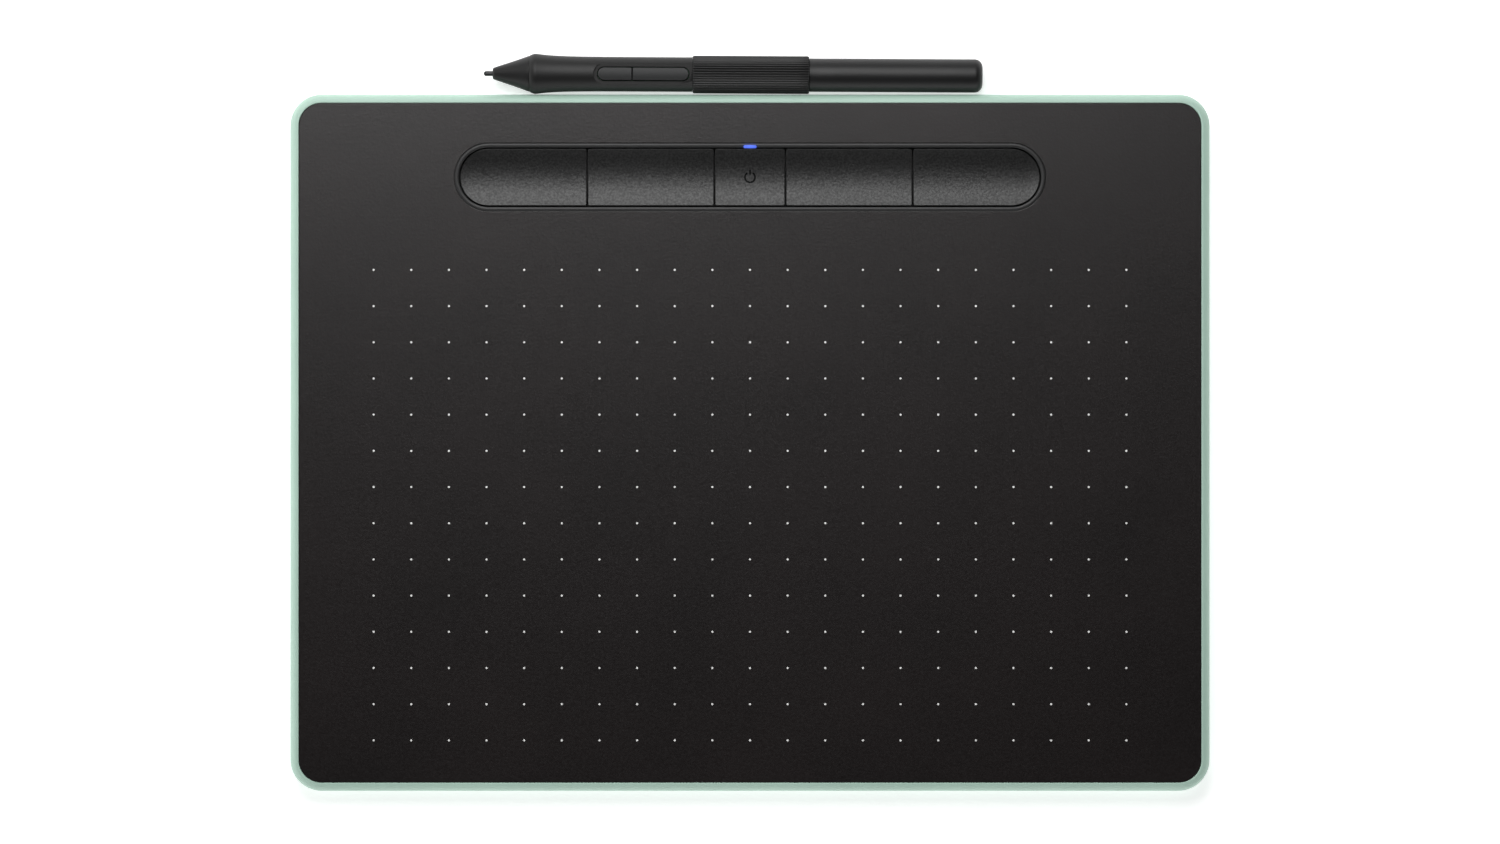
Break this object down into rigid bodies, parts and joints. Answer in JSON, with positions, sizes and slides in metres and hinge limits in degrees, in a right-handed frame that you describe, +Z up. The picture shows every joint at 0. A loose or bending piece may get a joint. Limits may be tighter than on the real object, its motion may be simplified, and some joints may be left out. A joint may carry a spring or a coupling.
{
  "type": "pen drawing tablet",
  "caption": "Flat pen drawing tablet with a mint shell, a dark drawing surface and a dished row of keys, and a cordless pen lying along its rear edge.",
  "frame": {"origin": "centre of the footprint of tablet and pen, on the desk", "axes": "+X to the user's right along the tablet's long side, +Y to the rear, where the keys and the pen are, +Z up out of the drawing surface"},
  "size_m": [0.264, 0.2118, 0.0116],
  "materials": {
    "shell": "fine satin moulding, mint green",
    "dark_panel": "moulded ABS, black",
    "drawing_surface": "fine paper-like grain, near black",
    "adhesive": "thin double-sided tape",
    "trim_ring": "satin gloss, near black",
    "key": "fine spark-eroded grain, near black",
    "light_guide": "clear acrylic, lit blue",
    "foot_rubber": "matt dark grey rubber",
    "screw_steel": "zinc-plated steel",
    "circuit_board": "green solder mask",
    "sensor_board": "blue solder mask",
    "switch_body": "black nylon",
    "switch_plunger": "natural acetal",
    "chip": "black epoxy",
    "chip_part": "ceramic and tantalum parts",
    "sheet_metal": "tin-plated steel",
    "battery_foil": "soft aluminium laminate pouch",
    "wire": "red and black insulated lead",
    "connector": "natural nylon",
    "ribbon": "amber polyimide film",
    "pen_plastic": "satin moulding, near black",
    "pen_sleeve": "ribbed soft-touch, black",
    "pen_key": "satin moulding, near black",
    "nib": "black acetal",
    "pen_inner": "natural acetal",
    "ferrite": "sintered ferrite, dark grey",
    "copper_coil": "enamelled copper wire"
  },
  "bodies": {
    "tablet": {"bottom_case": "shell", "top_case": "dark_panel", "surface_sheet": "drawing_surface", "sheet_adhesive": "adhesive", "key_bezel": "trim_ring", "led_lens": "light_guide", "rubber_feet": "foot_rubber", "case_screws": "screw_steel", "main_board": "circuit_board", "board_screws": "screw_steel", "tact_switches": "switch_body", "status_led": "connector", "controller_chip": "chip", "radio_module": "sensor_board", "shield_can": "sheet_metal", "board_components": "chip_part", "usb_socket": "sheet_metal", "usb_tongue": "switch_body", "battery": "battery_foil", "battery_pad": "adhesive", "battery_lead": "wire", "battery_connector": "connector", "sensor_board": "sensor_board", "shield_plate": "sheet_metal", "sensor_ribbon": "ribbon", "ribbon_connector": "connector"},
    "left_outer_key": {"express_key_1": "key", "key_plunger_1": "switch_plunger"},
    "left_inner_key": {"express_key_2": "key", "key_plunger_2": "switch_plunger"},
    "centre_key": {"power_key": "key", "key_plunger_3": "switch_plunger"},
    "right_inner_key": {"express_key_3": "key", "key_plunger_4": "switch_plunger"},
    "right_outer_key": {"express_key_4": "key", "key_plunger_5": "switch_plunger"},
    "pen": {"pen_nose": "pen_plastic", "pen_grip": "pen_plastic", "pen_sleeve": "pen_sleeve", "pen_chassis": "switch_body", "pen_ferrite_core": "ferrite", "pen_coil": "copper_coil", "pen_pressure_sensor": "sheet_metal", "pen_circuit_board": "circuit_board", "pen_dome_switches": "sheet_metal", "pen_board_chips": "chip", "spare_nib_rack": "pen_inner", "spare_nibs": "nib"},
    "pen_front_switch": {"pen_switch_front": "pen_key"},
    "pen_rear_switch": {"pen_switch_rear": "pen_key"},
    "nib_carrier": {"pen_nib_holder": "pen_inner"},
    "nib": {"pen_nib": "nib"},
    "rear_barrel": {"pen_rear_barrel": "pen_plastic"}
  },
  "joints": [
    {"name": "left_outer_key_press", "type": "slide", "parent": "tablet", "child": "left_outer_key", "axis": [0, 0, -1], "range_m": [0, 0.0004], "stiffness_N_per_m": 2000},
    {"name": "left_inner_key_press", "type": "slide", "parent": "tablet", "child": "left_inner_key", "axis": [0, 0, -1], "range_m": [0, 0.0004], "stiffness_N_per_m": 2000},
    {"name": "power_key_press", "type": "slide", "parent": "tablet", "child": "centre_key", "axis": [0, 0, -1], "range_m": [0, 0.0004], "stiffness_N_per_m": 2000},
    {"name": "right_inner_key_press", "type": "slide", "parent": "tablet", "child": "right_inner_key", "axis": [0, 0, -1], "range_m": [0, 0.0004], "stiffness_N_per_m": 2000},
    {"name": "right_outer_key_press", "type": "slide", "parent": "tablet", "child": "right_outer_key", "axis": [0, 0, -1], "range_m": [0, 0.0004], "stiffness_N_per_m": 2000},
    {"name": "pen_lift", "type": "slide", "parent": "tablet", "child": "pen", "axis": [0, 0, 1], "range_m": [0, 0.05]},
    {"name": "pen_front_switch_press", "type": "slide", "parent": "pen", "child": "pen_front_switch", "axis": [-0.0048, 0, -1], "range_m": [0, 0.0004], "stiffness_N_per_m": 2000},
    {"name": "pen_rear_switch_press", "type": "slide", "parent": "pen", "child": "pen_rear_switch", "axis": [-0.0048, 0, -1], "range_m": [0, 0.0004], "stiffness_N_per_m": 2000},
    {"name": "nib_press", "type": "slide", "parent": "pen", "child": "nib_carrier", "axis": [1, -0.0048, -0.0048], "range_m": [0, 0.0003], "stiffness_N_per_m": 3000},
    {"name": "nib_pull_out", "type": "slide", "parent": "nib_carrier", "child": "nib", "axis": [-1, 0.0048, 0.0048], "range_m": [0, 0.024]},
    {"name": "rear_barrel_pull_off", "type": "slide", "parent": "pen", "child": "rear_barrel", "axis": [1, -0.0048, -0.0048], "range_m": [0, 0.03]}
  ]
}
